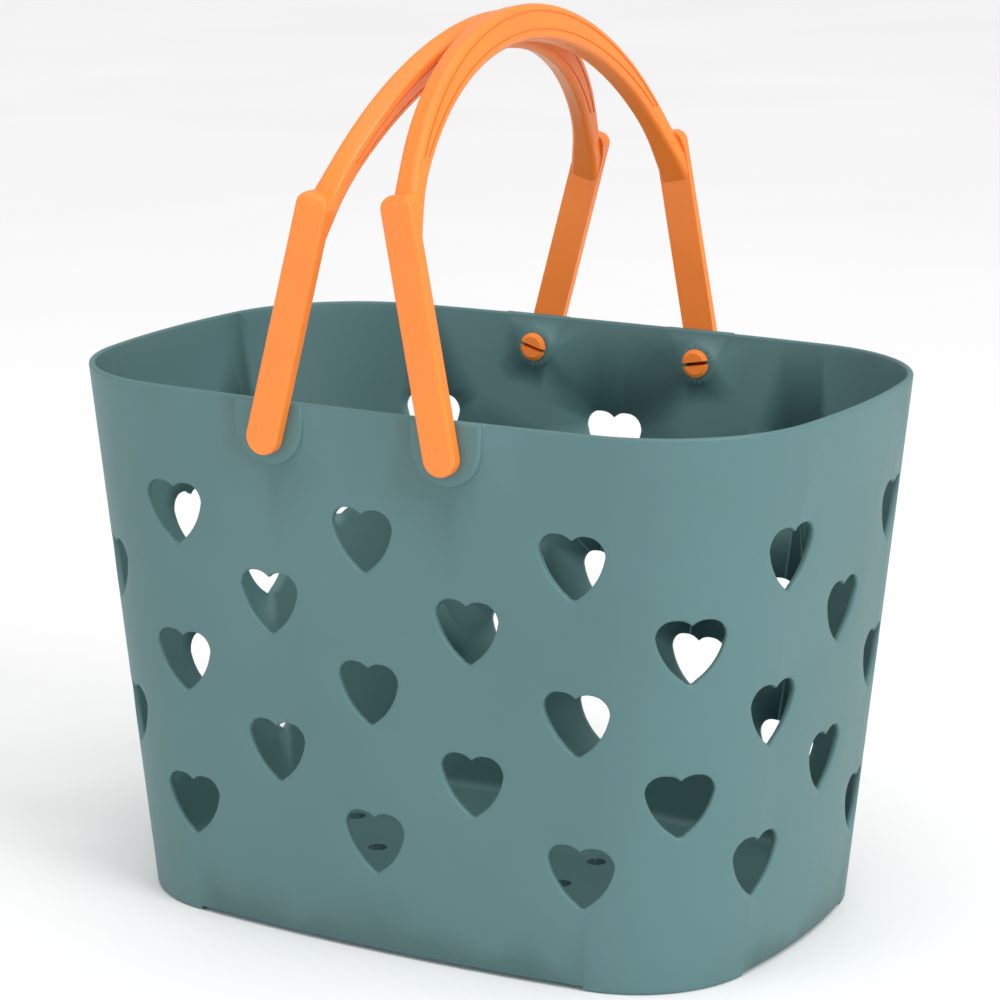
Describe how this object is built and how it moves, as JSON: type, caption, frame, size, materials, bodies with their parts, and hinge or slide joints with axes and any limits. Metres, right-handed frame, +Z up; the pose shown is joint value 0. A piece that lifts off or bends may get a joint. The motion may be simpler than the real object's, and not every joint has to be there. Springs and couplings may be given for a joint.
{
  "type": "shower caddy",
  "caption": "Tapered moulded bath tote with heart-shaped drain holes and a pair of swinging bail handles that lean together over its open top.",
  "frame": {"origin": "on the surface the caddy stands on, under the middle of the basket", "axes": "+Z up, X along the long walls with the left handle at -X, Y across the basket through its long walls"},
  "size_m": [0.2798, 0.191, 0.3139],
  "materials": {
    "basket_plastic": "satin moulded polypropylene, finely grained",
    "handle_plastic": "smooth moulded polypropylene with a soft gloss"
  },
  "bodies": {
    "basket": {"basket": "basket_plastic"},
    "left_handle": {"left_handle": "handle_plastic"},
    "right_handle": {"right_handle": "handle_plastic"}
  },
  "joints": [
    {"name": "left_pivot", "type": "hinge", "parent": "basket", "child": "left_handle", "pos_m": [-0.034, 0, 0.1792], "axis": [0, -1, 0], "range_deg": [0, 135]},
    {"name": "right_pivot", "type": "hinge", "parent": "basket", "child": "right_handle", "pos_m": [0.034, 0, 0.1792], "axis": [0, 1, 0], "range_deg": [0, 130]}
  ]
}
